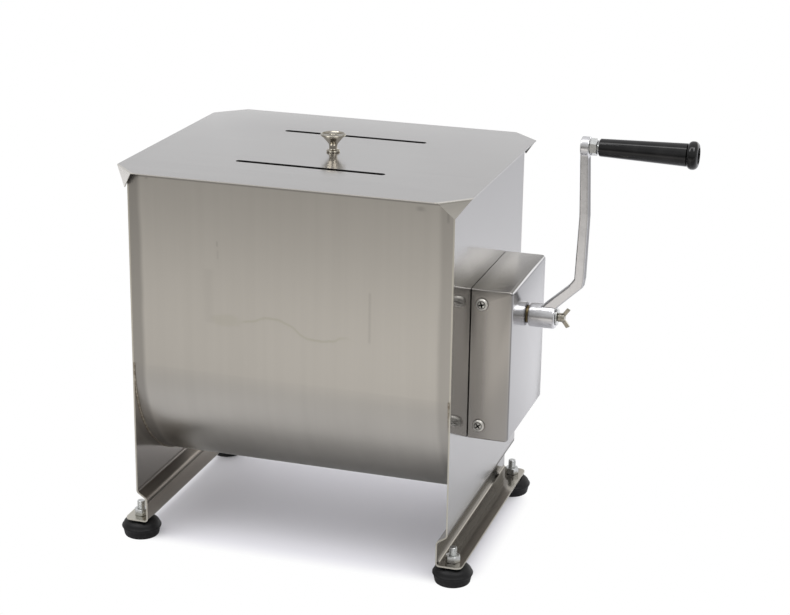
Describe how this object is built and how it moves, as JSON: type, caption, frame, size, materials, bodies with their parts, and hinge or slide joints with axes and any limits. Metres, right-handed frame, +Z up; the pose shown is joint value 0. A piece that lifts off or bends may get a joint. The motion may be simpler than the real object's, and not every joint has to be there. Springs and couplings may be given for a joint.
{
  "type": "manual meat mixer",
  "caption": "Hand cranked meat mixer: sheet steel tank with a round bottom on rubber feet, paddle shaft driven through gears by a crank, and a loose lid with a knob.",
  "frame": {"origin": "on the floor, in the middle of the whole part's box seen from above", "axes": "+X along the paddle shaft towards the crank, +Y from front to back, +Z up"},
  "size_m": [0.5578, 0.3, 0.4389],
  "materials": {
    "satin_steel": "satin stainless sheet",
    "dull_steel": "plain machined steel",
    "shaft_steel": "turned and welded stainless steel",
    "polished_steel": "polished casting",
    "zinc": "zinc plated",
    "nickel": "bright nickel plated",
    "dull_nickel": "dull nickel plated casting",
    "bronze": "turned bronze",
    "gear_steel": "oiled gear steel",
    "black_rubber": "moulded rubber",
    "black_plastic": "glossy moulded plastic",
    "white_plastic": "natural white plastic"
  },
  "bodies": {
    "frame": {"tank_trough": "satin_steel", "left_end_plate": "satin_steel", "right_end_plate": "satin_steel", "foot_front_left": "black_rubber", "foot_front_right": "black_rubber", "foot_back_left": "black_rubber", "foot_back_right": "black_rubber", "foot_studs": "zinc", "foot_nuts": "zinc", "left_pivot_disc": "satin_steel", "left_pivot_pin": "shaft_steel", "left_pivot_nut": "zinc", "bearing_plate": "dull_steel", "shaft_seal": "black_rubber", "main_bush": "bronze", "crank_inner_bush": "bronze", "cover_bracket_front": "dull_steel", "cover_bracket_back": "dull_steel", "cover_nuts": "zinc", "gearbox_cover": "satin_steel", "cover_screws": "zinc", "bush_housing": "dull_steel", "crank_outer_bush": "bronze"},
    "agitator": {"agitator_shaft": "shaft_steel", "agitator_bush": "white_plastic", "paddle_1": "shaft_steel", "paddle_2": "shaft_steel", "paddle_3": "shaft_steel", "paddle_4": "shaft_steel", "paddle_pins": "zinc", "output_shaft": "shaft_steel", "coupling_pin": "zinc", "drive_gear": "gear_steel", "gear_key": "gear_steel", "gear_clip": "gear_steel"},
    "crank": {"crank_shaft": "shaft_steel", "pinion": "gear_steel", "pinion_key": "gear_steel", "crank_arm": "polished_steel", "handle_spindle": "zinc", "handle_nut": "zinc"},
    "grip": {"grip": "black_plastic"},
    "wing_washer": {"wing_washer": "dull_nickel"},
    "wing_screw": {"wing_screw": "dull_nickel"},
    "lid": {"lid": "satin_steel", "lid_knob": "nickel", "knob_washer": "zinc", "knob_screw": "zinc"}
  },
  "joints": [
    {"name": "agitator_turn", "type": "hinge", "parent": "frame", "child": "agitator", "pos_m": [-0.08977, 0, 0.195], "axis": [1, 0, 0], "continuous": true},
    {"name": "crank_turn", "type": "hinge", "parent": "frame", "child": "crank", "pos_m": [0.11872, 0, 0.24825], "axis": [1, 0, 0], "continuous": true},
    {"name": "grip_spin", "type": "hinge", "parent": "crank", "child": "grip", "pos_m": [0.18288, 0, 0.42525], "axis": [1, 0, 0], "continuous": true},
    {"name": "wing_screw_travel", "type": "slide", "parent": "crank", "child": "wing_washer", "axis": [1, 0, 0], "range_m": [0, 0.0101]},
    {"name": "wing_screw_turn", "type": "hinge", "parent": "wing_washer", "child": "wing_screw", "pos_m": [0.14713, 0, 0.24825], "axis": [1, 0, 0], "range_deg": [0, 3600]},
    {"name": "lid_lift", "type": "slide", "parent": "frame", "child": "lid", "axis": [0, 0, 1], "range_m": [0, 0.2]}
  ],
  "couplings": [
    {"joint": "crank_turn", "follows": "agitator_turn", "ratio": -2.9444},
    {"joint": "wing_screw_travel", "follows": "wing_screw_turn", "m_per_rad": 0.00015915}
  ]
}
